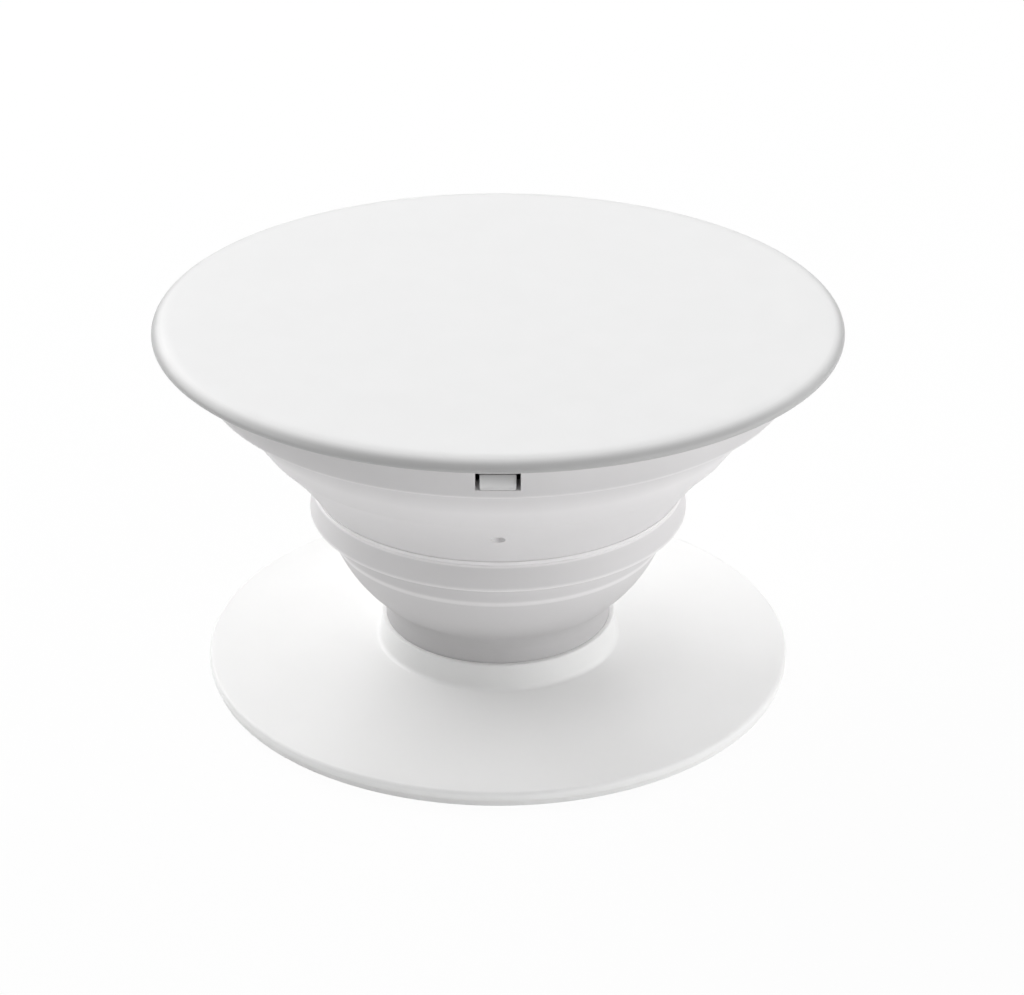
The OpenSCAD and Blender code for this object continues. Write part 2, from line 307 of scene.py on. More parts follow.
class GripFinishesAndPaintedShading(bpy.types.PropertyGroup):
    disc_white: FloatVectorProperty(
        name="Disc", description="Palest colour of the satin plastic disc",
        default=(0.97, 0.97, 0.97), min=0.0, max=1.0, subtype="COLOR")
    base_white: FloatVectorProperty(
        name="Base", description="Palest colour of the satin plastic base",
        default=(0.97, 0.97, 0.965), min=0.0, max=1.0, subtype="COLOR")
    accordion_white: FloatVectorProperty(
        name="Accordion", description="Palest colour of the matt elastomer accordion",
        default=(0.905, 0.892, 0.898), min=0.0, max=1.0, subtype="COLOR")
    pad_white: FloatVectorProperty(
        name="Pad", description="Colour of the foam adhesive pad",
        default=(0.95, 0.95, 0.945), min=0.0, max=1.0, subtype="COLOR")
    face_shade: FloatProperty(
        name="Disc tone", description="Tone of the disc's face, as a share of its palest",
        default=0.86, min=0.0, max=1.0, subtype="FACTOR")
    # Painted shade: the hooks are painted darker toward their tops, under the disc's overhang, and
    # paler at their feet
    hook_painted_shade: FloatProperty(
        name="Hook tone", description="Tone at the top of each hook",
        default=0.46, min=0.0, max=1.0, subtype="FACTOR")
    # Painted light: the base's rim is painted paler than the plate and collar, and this tone is the
    # plate's share of it
    plate_share_of_painted_rim_light: FloatProperty(
        name="Plate tone", description="Tone of the plate and its collar, as a share of the rim's",
        default=0.895, min=0.0, max=1.0, subtype="FACTOR")
    # Painted shade: the disc is painted darker round its rounded edge, over this width and down to
    # this tone
    edge_width: FloatProperty(
        name="Disc edge width", description="Width of the deeper tone round the disc's edge",
        default=0.6 * MM, min=0.1 * MM, max=2 * MM, unit="LENGTH", precision=5)
    painted_rim_shade: FloatProperty(
        name="Disc edge tone", description="Tone of the disc's edge, as a share of its face's",
        default=0.6, min=0.0, max=1.0, subtype="FACTOR")
    # The accordion's tones below are painted light and shade by height: darker at the neck, on the
    # upright walls and under the top ring's edge, paler on the shoulder
    neck_painted_shade: FloatProperty(
        name="Neck tone", description="Tone of the accordion's neck, as a share of its palest",
        default=0.62, min=0.0, max=1.0, subtype="FACTOR")
    lower_web_painted_shading: FloatProperty(
        name="Lower web tone", description="Tone halfway up the lower web",
        default=0.755, min=0.0, max=1.0, subtype="FACTOR")
    wall_painted_shade: FloatProperty(
        name="Wall tone", description="Tone of the upright walls of the middle and top rings",
        default=0.81, min=0.0, max=1.0, subtype="FACTOR")
    upper_web_painted_shading: FloatProperty(
        name="Upper web tone", description="Tone halfway up the upper web",
        default=0.9, min=0.0, max=1.0, subtype="FACTOR")
    web_foot_painted_shading: FloatProperty(
        name="Web foot tone", description="Tone at the foot of the upper web",
        default=0.87, min=0.0, max=1.0, subtype="FACTOR")
    shoulder_painted_light: FloatProperty(
        name="Shoulder tone", description="Tone of the top ring's shoulder",
        default=0.98, min=0.0, max=1.0, subtype="FACTOR")
    under_ring_painted_shade: FloatProperty(
        name="Shaded tone", description="Tone of the shoulder close under the top ring's edge",
        default=0.8586, min=0.0, max=1.0, subtype="FACTOR")
    ring_top_painted_shade: FloatProperty(
        name="Ring top tone", description="Tone at the top of the top ring's wall",
        default=0.7938, min=0.0, max=1.0, subtype="FACTOR")
    # Painted highlight: a pale line painted along each moulded edge of the accordion
    painted_highlight_line: FloatProperty(
        name="Edge line", description="Height of the pale line along each moulded edge",
        default=0.1 * MM, min=0.05 * MM, max=0.2 * MM, unit="LENGTH", precision=5)
    floor_white: FloatVectorProperty(
        name="Floor", description="Colour of the studio floor",
        default=(0.9, 0.9, 0.9), min=0.0, max=1.0, subtype="COLOR")
    satin: FloatProperty(
        name="Satin roughness", description="Roughness of the moulded plastic",
        default=0.42, min=0.0, max=1.0, subtype="FACTOR")
    matt: FloatProperty(
        name="Matt roughness", description="Roughness of the elastomer",
        default=0.6, min=0.0, max=1.0, subtype="FACTOR")


class GripStudio(bpy.types.PropertyGroup):
    elevation: FloatProperty(
        name="Elevation", description="Height of the camera above the horizon",
        default=math.radians(27), min=0.0, max=math.radians(80), subtype="ANGLE")
    distance: FloatProperty(
        name="Distance", description="Distance from the camera to the grip",
        default=165 * MM, min=80 * MM, max=1000 * MM, unit="LENGTH")
    aim: FloatProperty(
        name="Aim", description="Height on the axis that the camera looks at",
        default=10 * MM, min=0.0, max=30 * MM, unit="LENGTH")
    lens: FloatProperty(
        name="Lens", description="Focal length, in millimetres",
        default=96.7, min=35.0, max=200.0)
    shift: FloatVectorProperty(
        name="Shift", description="Shift of the camera that frames the grip as in the photograph",
        default=(0.0137, 0.0073), size=2, min=-0.1, max=0.1)
    surround: FloatProperty(
        name="Surround", description="Strength of the even light from all round",
        default=0.04, min=0.0, max=2.0)
    floor_glow: FloatProperty(
        name="Floor glow", description="Share of plain white in the floor as the camera sees it",
        default=0.95, min=0.0, max=1.0, subtype="FACTOR")
    lamp_distance: FloatProperty(
        name="Lamp distance", description="Distance of each soft panel from the grip",
        default=0.6, min=0.3, max=2.0, unit="LENGTH")
    lamp_width: FloatProperty(
        name="Lamp width", description="Width of each soft panel",
        default=0.45, min=0.1, max=1.0, unit="LENGTH")
    lamp_height: FloatProperty(
        name="Lamp height", description="Height of each soft panel",
        default=0.3, min=0.1, max=1.0, unit="LENGTH")


def arc(centre, wide, tall, start, end, steps=ROUND_STEPS):
    """Points of an elliptical arc about a centre, as (radius, height); angles in degrees."""
    points = []
    for step in range(steps + 1):
        angle = math.radians(start + (end - start) * step / steps)
        points.append((centre[0] + wide * math.cos(angle), centre[1] + tall * math.sin(angle)))
    return points


def bowed(start, end, bulge, cuts):
    """A line of (radius, height) points from start to end that bulges outward in its middle."""
    along = Vector(end) - Vector(start)
    out = Vector((along.y, -along.x)).normalized()
    points = []
    for step in range(cuts + 1):
        share = step / cuts
        points.append(Vector(start) + along * share + out * bulge * 4 * share * (1 - share))
    return points


def eased(line, below, length, steps=8):
    """A line whose first corner, with the wall below it, is drawn as a smooth turn of some length."""
    corner = line[0]
    away = Vector(below) - corner
    first = corner + away * length / away.length
    clear = length * 1.2
    rest = [point for point in line if (point - corner).length > clear]
    ahead = rest[0] - corner
    last = corner + ahead * length / ahead.length
    turn = []
    for step in range(steps + 1):
        share = step / steps
        turn.append(first * (1 - share) ** 2 + corner * 2 * share * (1 - share) + last * share ** 2)
    return turn + rest


def level_wall(start, end, wall):
    """Width, measured level, of a sloping wall of a given thickness."""
    along = Vector(end) - Vector(start)
    return wall * along.length / along.y


def turned(outline, closed=True, turn=2 * math.pi, steps=TURN_STEPS):
    """A bmesh spun round Z from an outline of (radius, height) points."""
    bm = bmesh.new()
    points = [bm.verts.new((place[0], 0.0, place[1])) for place in outline]
    edges = [bm.edges.new(pair) for pair in zip(points, points[1:])]
    if closed:
        edges.append(bm.edges.new((points[-1], points[0])))
    full = abs(turn - 2 * math.pi) < 1e-6
    ends = bmesh.ops.spin(
        bm, geom=points + edges, cent=(0, 0, 0), axis=(0, 0, 1), dvec=(0, 0, 0),
        angle=turn, steps=steps, use_merge=full)
    if closed and not full:
        bmesh.ops.contextual_create(bm, geom=edges)
        last = [part for part in ends["geom_last"] if isinstance(part, bmesh.types.BMEdge)]
        bmesh.ops.contextual_create(bm, geom=last)
    bmesh.ops.remove_doubles(bm, verts=bm.verts, dist=MERGE)
    bmesh.ops.recalc_face_normals(bm, faces=bm.faces)
    return bm


def at_place(vert, place):
    """True if a vertex lies on the circle of that (radius, height)."""
    return abs(vert.co.xy.length - place[0]) < TINY and abs(vert.co.z - place[1]) < TINY


def soften(bm, edges, width, segments=3):
    """Rounds a set of edges."""
    if not edges:
        raise RuntimeError("there are no edges to round")
    bmesh.ops.bevel(
        bm, geom=edges, offset=width, offset_type="OFFSET", affect="EDGES",
        segments=segments, profile=0.5, material=-1, clamp_overlap=True)


def soften_circle(bm, place, width, segments=3):
    """Rounds the circular edge at a (radius, height)."""
    ring = [edge for edge in bm.edges if all(at_place(vert, place) for vert in edge.verts)]
    soften(bm, ring, width, segments)


def copies_around(bm, count):
    """Repeats everything in a bmesh evenly round Z, with the first copy toward the front."""
    first = list(bm.verts) + list(bm.edges) + list(bm.faces)
    bmesh.ops.rotate(
        bm, verts=list(bm.verts), cent=(0, 0, 0), matrix=Matrix.Rotation(-math.pi / 2, 3, "Z"))
    for index in range(1, count):
        made = bmesh.ops.duplicate(bm, geom=first)["geom"]
        verts = [part for part in made if isinstance(part, bmesh.types.BMVert)]
        turn = Matrix.Rotation(2 * math.pi * index / count, 3, "Z")
        bmesh.ops.rotate(bm, verts=verts, cent=(0, 0, 0), matrix=turn)


def add_mesh(bm, other):
    """Joins a second bmesh to the first."""
    held = bpy.data.meshes.new("held")
    other.to_mesh(held)
    other.free()
    bm.from_mesh(held)
    bpy.data.meshes.remove(held)


def make_piece(bm, node, material):
    """Makes the piece that stands for a node of the frame."""
    for face in bm.faces:
        face.smooth = True
    for edge in bm.edges:
        edge.smooth = not edge.is_boundary and edge.calc_face_angle(0.0) < SHARP_ANGLE
    rest = bm.verts.layers.float.new(REST_HEIGHT)
    for vert in bm.verts:
        vert[rest] = vert.co.z
    name = node + "_piece"
    mesh = bpy.data.meshes.new(name)
    bm.to_mesh(mesh)
    bm.free()
    obj = bpy.data.objects.new(name, mesh)
    bpy.context.scene.collection.objects.link(obj)
    mesh.materials.append(material)
    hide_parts(node)
    return obj


def keep_flats(obj):
    """Keeps the shading of flat faces level up to their rounded edges."""
    level = obj.modifiers.new("Level flats", "WEIGHTED_NORMAL")
    level.mode = "FACE_AREA"
    level.keep_sharp = True


def thicken(obj, wall):
    """Gives a single sheet its wall, inward from the surface that shows."""
    wall_modifier = obj.modifiers.new("Wall", "SOLIDIFY")
    wall_modifier.thickness = wall
    wall_modifier.offset = -1.0
    wall_modifier.use_rim = True


def link(tree, source, output, target, socket):
    """Joins two nodes of a material."""
    tree.links.new(source.outputs[output], target.inputs[socket])


def add_noise(tree, size, detail, place):
    """A noise pattern with features of about the given size, in metres, on the piece itself."""
    noise = tree.nodes.new("ShaderNodeTexNoise")
    noise.inputs["Scale"].default_value = 1.0 / size
    noise.inputs["Detail"].default_value = detail
    link(tree, place, "Object", noise, "Vector")
    return noise


def add_range(tree, source, output, low_value, high_value):
    """Maps a pattern's middle values onto a range."""
    spread = tree.nodes.new("ShaderNodeMapRange")
    spread.inputs["From Min"].default_value = 0.3
    spread.inputs["From Max"].default_value = 0.7
    spread.inputs["To Min"].default_value = low_value
    spread.inputs["To Max"].default_value = high_value
    link(tree, source, output, spread, "Value")
    return spread


def moulded_finish(name, colour, roughness, grain, depth, shade, gloss=0.5):
    """A moulded surface with a fine grain of some depth and a slow drift of tone and gloss."""
    material = bpy.data.materials.new(name)
    material.use_nodes = True
    tree = material.node_tree
    surface = tree.nodes["Principled BSDF"]
    place = tree.nodes.new("ShaderNodeTexCoord")

    clouds = add_noise(tree, 4.5 * MM, 2.0, place)
    tone = tree.nodes.new("ShaderNodeMix")
    tone.data_type = "RGBA"
    tone.inputs["A"].default_value = (*[part * shade for part in colour], 1.0)
    tone.inputs["B"].default_value = (*colour, 1.0)
    share = add_range(tree, clouds, "Fac", 0.0, 1.0)
    link(tree, share, "Result", tone, "Factor")
    link(tree, tone, "Result", surface, "Base Color")

    rub = add_noise(tree, 1.6 * MM, 4.0, place)
    sheen = add_range(tree, rub, "Fac", roughness - 0.04, roughness + 0.05)
    link(tree, sheen, "Result", surface, "Roughness")

    pits = add_noise(tree, grain, 3.0, place)
    bump = tree.nodes.new("ShaderNodeBump")
    bump.inputs["Strength"].default_value = 0.6
    bump.inputs["Distance"].default_value = depth
    link(tree, pits, "Fac", bump, "Height")
    link(tree, bump, "Normal", surface, "Normal")

    surface.inputs["Specular IOR Level"].default_value = gloss
    return material


def foam_finish(name, colour):
    """A closed-cell foam with a dull face and small cells."""
    material = moulded_finish(
        name, colour, roughness=0.8, grain=0.25 * MM, depth=0.01 * MM, shade=0.96)
    tree = material.node_tree
    place = tree.nodes["Texture Coordinate"]
    cells = tree.nodes.new("ShaderNodeTexVoronoi")
    cells.inputs["Scale"].default_value = 1.0 / (0.18 * MM)
    link(tree, place, "Object", cells, "Vector")
    bump = tree.nodes["Bump"]
    link(tree, cells, "Distance", bump, "Height")
    return material


def paint_shading_along(material, source, output, stops):
    """Multiplies a finish by painted light and shade along a measure, given as (place, tone) from its
    lowest place.
    """
    tree = material.node_tree
    surface = tree.nodes["Principled BSDF"]
    held = surface.inputs["Base Color"].links[0].from_socket
    lowest, highest = stops[0][0], stops[-1][0]
    share = tree.nodes.new("ShaderNodeMapRange")
    share.inputs["From Min"].default_value = lowest
    share.inputs["From Max"].default_value = highest
    link(tree, source, output, share, "Value")
    ramp = tree.nodes.new("ShaderNodeValToRGB")
    parts = ramp.color_ramp.elements
    parts[0].color = (stops[0][1], stops[0][1], stops[0][1], 1.0)
    parts[1].color = (stops[-1][1], stops[-1][1], stops[-1][1], 1.0)
    for place, tone in stops[1:-1]:
        part = parts.new((place - lowest) / (highest - lowest))
        part.color = (tone, tone, tone, 1.0)
    link(tree, share, "Result", ramp, "Fac")
    # Darkens the finish by the ramp's painted shade
    deeper = tree.nodes.new("ShaderNodeMix")
    deeper.data_type = "RGBA"
    deeper.blend_type = "MULTIPLY"
    deeper.inputs["Factor"].default_value = 1.0
    tree.links.new(held, deeper.inputs["A"])
    link(tree, ramp, "Color", deeper, "B")
    link(tree, deeper, "Result", surface, "Base Color")


def add_height(material):
    """A material's measure of the height at which a point of the piece was built."""
    height = material.node_tree.nodes.new("ShaderNodeAttribute")
    height.attribute_name = REST_HEIGHT
    return height


def add_reach(material):
    """A material's measure of the distance from the axis."""
    tree = material.node_tree
    level = tree.nodes.new("ShaderNodeVectorMath")
    level.operation = "MULTIPLY"
    level.inputs[1].default_value = (1.0, 1.0, 0.0)
    link(tree, tree.nodes["Texture Coordinate"], "Object", level, 0)
    reach = tree.nodes.new("ShaderNodeVectorMath")
    reach.operation = "LENGTH"
    link(tree, level, "Vector", reach, 0)
    return reach


def disc_finish_and_painted_shade():
    """Satin white plastic of the disc, with painted shade round its rounded edge and at the top of its
    hooks, and painted light at their feet.
    """
    finishes_and_shading = bpy.context.scene.grip_finishes
    material = moulded_finish(
        "Satin white disc plastic with painted shade", tuple(finishes_and_shading.disc_white), finishes_and_shading.satin,
        grain=0.12 * MM, depth=0.0012 * MM, shade=0.992)
    # Painted shade round the rim: the disc's edge is painted darker in a smooth fade over its outer
    # width
    edge_r = radius("top_disc")
    painted_rim_shade_stops = []
    for share in (0.0, 0.3, 0.7, 1.0):
        smooth = share * share * (3 - 2 * share)
        place = edge_r - finishes_and_shading.edge_width * (1 - share)
        painted_rim_shade_stops.append((place, 1 - (1 - finishes_and_shading.painted_rim_shade) * smooth))
    paint_shading_along(material, add_reach(material), "Value", painted_rim_shade_stops)
    # Painted shade under the disc's overhang: each hook is painted darker toward its top and paler at
    # its foot
    sill_z, catch_z = hook_levels()
    under_z = high("accordion_top_ring")
    paint_shading_along(material, add_height(material), "Fac", (
        (sill_z, 1.0),
        (catch_z, finishes_and_shading.hook_painted_shade),
        (under_z - HOOK_ROOT, finishes_and_shading.face_shade),
        (under_z, finishes_and_shading.face_shade)))
    return material


def base_finish_and_painted_rim_light():
    """Satin white plastic of the base, with painted light that makes its rim paler than the plate and
    collar.
    """
    finishes_and_shading = bpy.context.scene.grip_finishes
    sizes = bpy.context.scene.grip_sizes
    rim_z = low("base_plate") + sizes.rim
    material = moulded_finish(
        "Satin white base plastic with painted rim light", tuple(finishes_and_shading.base_white), finishes_and_shading.satin,
        grain=0.12 * MM, depth=0.0012 * MM, shade=0.99)
    # Painted light on the rim: the rim is painted paler than the plate and collar above it
    paint_shading_along(material, add_height(material), "Fac", (
        (low("base_plate"), 1.0),
        (rim_z - sizes.rim_round, 1.0),
        (rim_z, finishes_and_shading.plate_share_of_painted_rim_light),
        (high("base_plate"), finishes_and_shading.plate_share_of_painted_rim_light)))
    return material


def accordion_finish_and_painted_shading():
    """Matt white elastomer, shared by the rings and webs of the accordion, with painted light and
    shade by height.
    """
    name = "Matt white elastomer with painted shading"
    finishes_and_shading = bpy.context.scene.grip_finishes
    if name in bpy.data.materials:
        return bpy.data.materials[name]
    material = moulded_finish(
        name, tuple(finishes_and_shading.accordion_white), finishes_and_shading.matt,
        grain=0.16 * MM, depth=0.002 * MM, shade=0.98, gloss=0.4)
    paint_shading_along(material, add_height(material), "Fac", accordion_painted_shading_by_height())
    return material


def accordion_painted_shading_by_height():
    """The accordion's painted light and shade by height, as (height, tone): painted shade at the neck,
    on the upright walls and under the top ring's edge, and painted highlights along the moulded edges
    and on the shoulder.
    """
    sizes = bpy.context.scene.grip_sizes
    finishes_and_shading = bpy.context.scene.grip_finishes
    # line is the height of each painted highlight line; wall, upper and pale are the painted tones of
    # the walls, the upper web and the shoulder
    line = finishes_and_shading.painted_highlight_line
    wall = finishes_and_shading.wall_painted_shade
    neck_z, skirt_z = low("accordion_lower_web"), high("accordion_lower_web")
    lip_z = skirt_z + sizes.skirt
    ledge_z, crease_z = low("accordion_upper_web"), high("accordion_upper_web")
    ring_z = ring_levels()[3]
    shoulder = ring_z - crease_z
    upper = finishes_and_shading.upper_web_painted_shading
    pale = finishes_and_shading.shoulder_painted_light
    return (
        (high("base_plate"), finishes_and_shading.neck_painted_shade),
        (neck_z, finishes_and_shading.neck_painted_shade),
        ((neck_z + skirt_z) / 2, finishes_and_shading.lower_web_painted_shading),
        (skirt_z - line * 3, wall),
        (skirt_z - line * 2, pale),
        (skirt_z, pale),
        (skirt_z + line, wall),
        (lip_z - line, wall),
        (lip_z, 1.0),
        (lip_z + line, 1.0),
        (lip_z + line * 2.5, wall),
        (ledge_z - line * 2, wall),
        (ledge_z - line, 1.0),
        (ledge_z + line * 2, 1.0),
        (ledge_z + line * 3, finishes_and_shading.web_foot_painted_shading),
        ((ledge_z + crease_z) / 2, upper),
        (crease_z, (upper + pale) / 2),
        (crease_z + shoulder * SHOULDER_PAINTED_LIGHT, pale),
        (crease_z + shoulder * SHOULDER_PAINTED_SHADE, finishes_and_shading.under_ring_painted_shade),
        (ring_z - line, finishes_and_shading.under_ring_painted_shade),
        (ring_z, 1.0),
        (ring_z + line * 0.5, 1.0),
        (ring_z + line * 1.5, wall),
        (high("accordion_top_ring"), finishes_and_shading.ring_top_painted_shade),
    )


def web_levels():
    """Where the two webs start and end, as (radius, height)."""
    sizes = bpy.context.scene.grip_sizes
    middle_top = radius("accordion_middle_ring") - sizes.middle_draft
    return {
        "neck": (radius("accordion_foot"), low("accordion_lower_web")),
        "skirt": (radius("accordion_lower_web"), high("accordion_lower_web")),
        "ledge": (middle_top - sizes.middle_ledge, low("accordion_upper_web")),
        "crease": (radius("accordion_upper_web"), high("accordion_upper_web")),
    }


def ring_levels():
    """The top ring's main radii and heights."""
    sizes = bpy.context.scene.grip_sizes
    top_r = radius("accordion_top_ring")
    low_r = top_r - sizes.ring_draft
    top_z = high("accordion_top_ring")
    return top_r, low_r, low_r - sizes.ring_wall, top_z - sizes.ring_height, top_z


def hook_levels():
    """Heights of a window's sill and of the top of the hook in it."""
    latches = bpy.context.scene.grip_latches
    sill_z = ring_levels()[3] + latches.sill
    return sill_z, sill_z + latches.window_height - latches.top_gap


class GRIP_OT_pad(bpy.types.Operator):
    """Model the round adhesive pad under the base"""
    bl_idname = "grip.pad"
    bl_label = "Adhesive Pad"

    def execute(self, context):
        sizes = context.scene.grip_sizes
        node = "adhesive_pad"
        edge_r = radius(node)
        outline = [(0.0, low(node)), (edge_r, low(node)), (edge_r, high(node)), (0.0, high(node))]
        bm = turned(outline, closed=False)
        soften_circle(bm, (edge_r, low(node)), sizes.pad_edge)
        soften_circle(bm, (edge_r, high(node)), sizes.pad_edge)
        finishes_and_shading = context.scene.grip_finishes
        foam = foam_finish("Pale adhesive foam", tuple(finishes_and_shading.pad_white))
        obj = make_piece(bm, node, foam)
        keep_flats(obj)
        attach(obj, "base")
        return {"FINISHED"}


class GRIP_OT_base(bpy.types.Operator):
    """Model the thin round base with its collar and the snap fingers inside it"""
    bl_idname = "grip.base"
    bl_label = "Base Plate"

    def execute(self, context):
        sizes = context.scene.grip_sizes
        node = "base_plate"
        edge_r = radius(node)
        plate_z = low(node)
        lip_z = high(node)
        rim_z = plate_z + sizes.rim
        foot_z = rim_z + sizes.plate_rise
        floor_z = plate_z + sizes.plate_floor
        neck_r = radius("accordion_foot") - sizes.neck_flare
        mouth_r = neck_r + sizes.mouth_gap
        bore_r = neck_r + sizes.spin_gap
        lip_r = bore_r + sizes.collar_lip
        foot_r = lip_r + sizes.collar_flare
        fillet = sizes.collar_fillet
        rim_round = sizes.rim_round
        outline = [(0.0, plate_z), (edge_r, plate_z)]
        outline += arc((edge_r - rim_round, rim_z - rim_round), rim_round, rim_round, 0, 90)
        outline += arc((foot_r + fillet, foot_z + fillet), fillet, fillet, 270, 180)
        outline += [(lip_r, lip_z), (mouth_r, lip_z), (mouth_r, lip_z - sizes.edge),
                    (bore_r, lip_z - sizes.edge * 2), (bore_r, floor_z), (0.0, floor_z)]
        bm = turned(outline, closed=False)
        soften_circle(bm, (edge_r, plate_z), sizes.rim_foot)
        soften_circle(bm, (lip_r, lip_z), sizes.edge)
        add_mesh(bm, self.snap_fingers(context, floor_z))
        obj = make_piece(bm, node, base_finish_and_painted_rim_light())
        keep_flats(obj)
        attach(obj, "base")
        return {"FINISHED"}

    def snap_fingers(self, context, floor_z):
        """The ring of fingers that holds the flange of the foot down."""
        sizes = context.scene.grip_sizes
        latches = context.scene.grip_latches
        flange_r = radius("accordion_foot") - sizes.neck_flare - sizes.neck_wall - sizes.flange
        out_r = flange_r - sizes.spin_gap
        in_r = out_r - latches.finger
        under_z = low("accordion_foot") + sizes.flange_thick + sizes.spin_gap
        top_z = under_z + latches.barb_height
        root_z = floor_z - sizes.edge
        outline = [
            (in_r, root_z), (out_r, root_z), (out_r, under_z), (out_r + latches.barb, under_z),
            (out_r + latches.barb, under_z + latches.barb_height / 4),
            (out_r - latches.finger / 3, top_z), (in_r, top_z)]
        bm = turned(outline, turn=latches.finger_arc, steps=FINGER_STEPS)
        half_back = Matrix.Rotation(-latches.finger_arc / 2, 3, "Z")
        bmesh.ops.rotate(bm, verts=list(bm.verts), cent=(0, 0, 0), matrix=half_back)
        copies_around(bm, latches.fingers)
        return bm


class GRIP_OT_foot(bpy.types.Operator):
    """Model the accordion's foot: the neck and the flange that turns under the snap fingers"""
    bl_idname = "grip.foot"
    bl_label = "Accordion Foot"

    def execute(self, context):
        sizes = context.scene.grip_sizes
        node = "accordion_foot"
        places = web_levels()
        top_r, top_z = places["neck"]
        neck_r = top_r - sizes.neck_flare
        bore_r = neck_r - sizes.neck_wall
        flange_r = bore_r - sizes.flange
        foot_z = low(node)
        flange_z = foot_z + sizes.flange_thick
        collar_z = high("base_plate")
        wall = level_wall(places["neck"], places["skirt"], sizes.web)
        outline = [
            (flange_r, foot_z), (neck_r, foot_z), (neck_r, collar_z), (top_r, top_z),
            (top_r - wall, top_z), (bore_r, collar_z), (bore_r, flange_z), (flange_r, flange_z)]
        bm = turned(outline)
        soften_circle(bm, (neck_r, foot_z), sizes.edge)
        soften_circle(bm, (flange_r, flange_z), sizes.edge)
        obj = make_piece(bm, node, accordion_finish_and_painted_shading())
        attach(obj, "foot")
        return {"FINISHED"}


class GRIP_OT_webs(bpy.types.Operator):
    """Model the two webs that fold, each one sheet between two rings, and the vent in the upper one"""
    bl_idname = "grip.webs"
    bl_label = "Folding Webs"

    def execute(self, context):
        sizes = context.scene.grip_sizes
        places = web_levels()
        lower = bowed(places["neck"], places["skirt"], sizes.lower_bow, 16)
        collar = (places["neck"][0] - sizes.neck_flare, high("base_plate"))
        lower = eased(lower, collar, sizes.neck_turn)
        self.make_web(context, "accordion_lower_web", lower, places["neck"], places["skirt"],
                      ("foot", "middle"), False)
        upper = bowed(places["ledge"], places["crease"], -sizes.upper_hollow, 12)
        self.make_web(context, "accordion_upper_web", upper, places["ledge"], places["crease"],
                      ("middle", "top"), True)
        return {"FINISHED"}

    def make_web(self, context, node, line, start, end, bodies, vented):
        """One web: a single sheet from its lower ring to its upper ring, given its wall."""
        sizes = context.scene.grip_sizes
        downward = (line[0] - line[1]).normalized()
        inward = Vector((-sizes.web_tuck, 0.0))
        line = [line[0] + downward * sizes.web_root + inward] + line
        bm = turned(line, closed=False)
        self.face_outward(bm)
        if vented:
            self.sink_vent(context, bm, start, end)
        obj = make_piece(bm, node, accordion_finish_and_painted_shading())
        thicken(obj, sizes.web)
        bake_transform(obj)

    def face_outward(self, bm):
        """Turns a single sheet's faces so that they look away from the axis."""
        bm.faces.ensure_lookup_table()
        face = bm.faces[0]
        face.normal_update()
        centre = face.calc_center_median()
        if face.normal.dot(Vector((centre.x, centre.y, 0.0))) < 0:
            bmesh.ops.reverse_faces(bm, faces=bm.faces)

    def sink_vent(self, context, bm, start, end):
        """Sinks the round vent into the front of the upper web, as a shallow shaded recess."""
        sizes = context.scene.grip_sizes
        share = sizes.vent_share
        centre = Vector((0.0, -(start[0] + (end[0] - start[0]) * share),
                         start[1] + (end[1] - start[1]) * share))
        near = min(bm.verts, key=lambda vert: (vert.co - centre).length)
        block = {near}
        for _ in range(VENT_RINGS):
            block |= {vert for one in block for face in one.link_faces for vert in face.verts}
        faces = [face for face in bm.faces if all(vert in block for vert in face.verts)]
        normal = sum((face.normal for face in faces), Vector()).normalized()
        surface_centre = centre + (near.co - centre).project(normal)
        rim = {edge for face in faces for edge in face.edges
               if any(other not in faces for other in edge.link_faces)}
        bmesh.ops.delete(bm, geom=faces, context="FACES")
        mouth_r = sizes.vent / 2
        turn = Vector((0, 0, 1)).rotation_difference(normal).to_matrix().to_4x4()
        circle = bmesh.ops.create_circle(
            bm, cap_ends=False, radius=mouth_r, segments=len(rim),
            matrix=Matrix.Translation(surface_centre) @ turn)["verts"]
        hoop = list({edge for vert in circle for edge in vert.link_edges})
        bmesh.ops.bridge_loops(bm, edges=list(rim) + hoop)
        lip = bmesh.ops.extrude_edge_only(bm, edges=hoop)["geom"]
        verts = [part for part in lip if isinstance(part, bmesh.types.BMVert)]
        shrink = 1 - sizes.vent_edge / mouth_r
        bmesh.ops.scale(
            bm, verts=verts, vec=(shrink, shrink, shrink),
            space=Matrix.Translation(-surface_centre))
        bmesh.ops.translate(bm, verts=verts, vec=-normal * sizes.vent_depth)
        inner = [part for part in lip if isinstance(part, bmesh.types.BMEdge)
                 and all(vert in verts for vert in part.verts)]
        bmesh.ops.contextual_create(bm, geom=inner)
        bmesh.ops.recalc_face_normals(bm, faces=bm.faces)
        self.face_outward(bm)


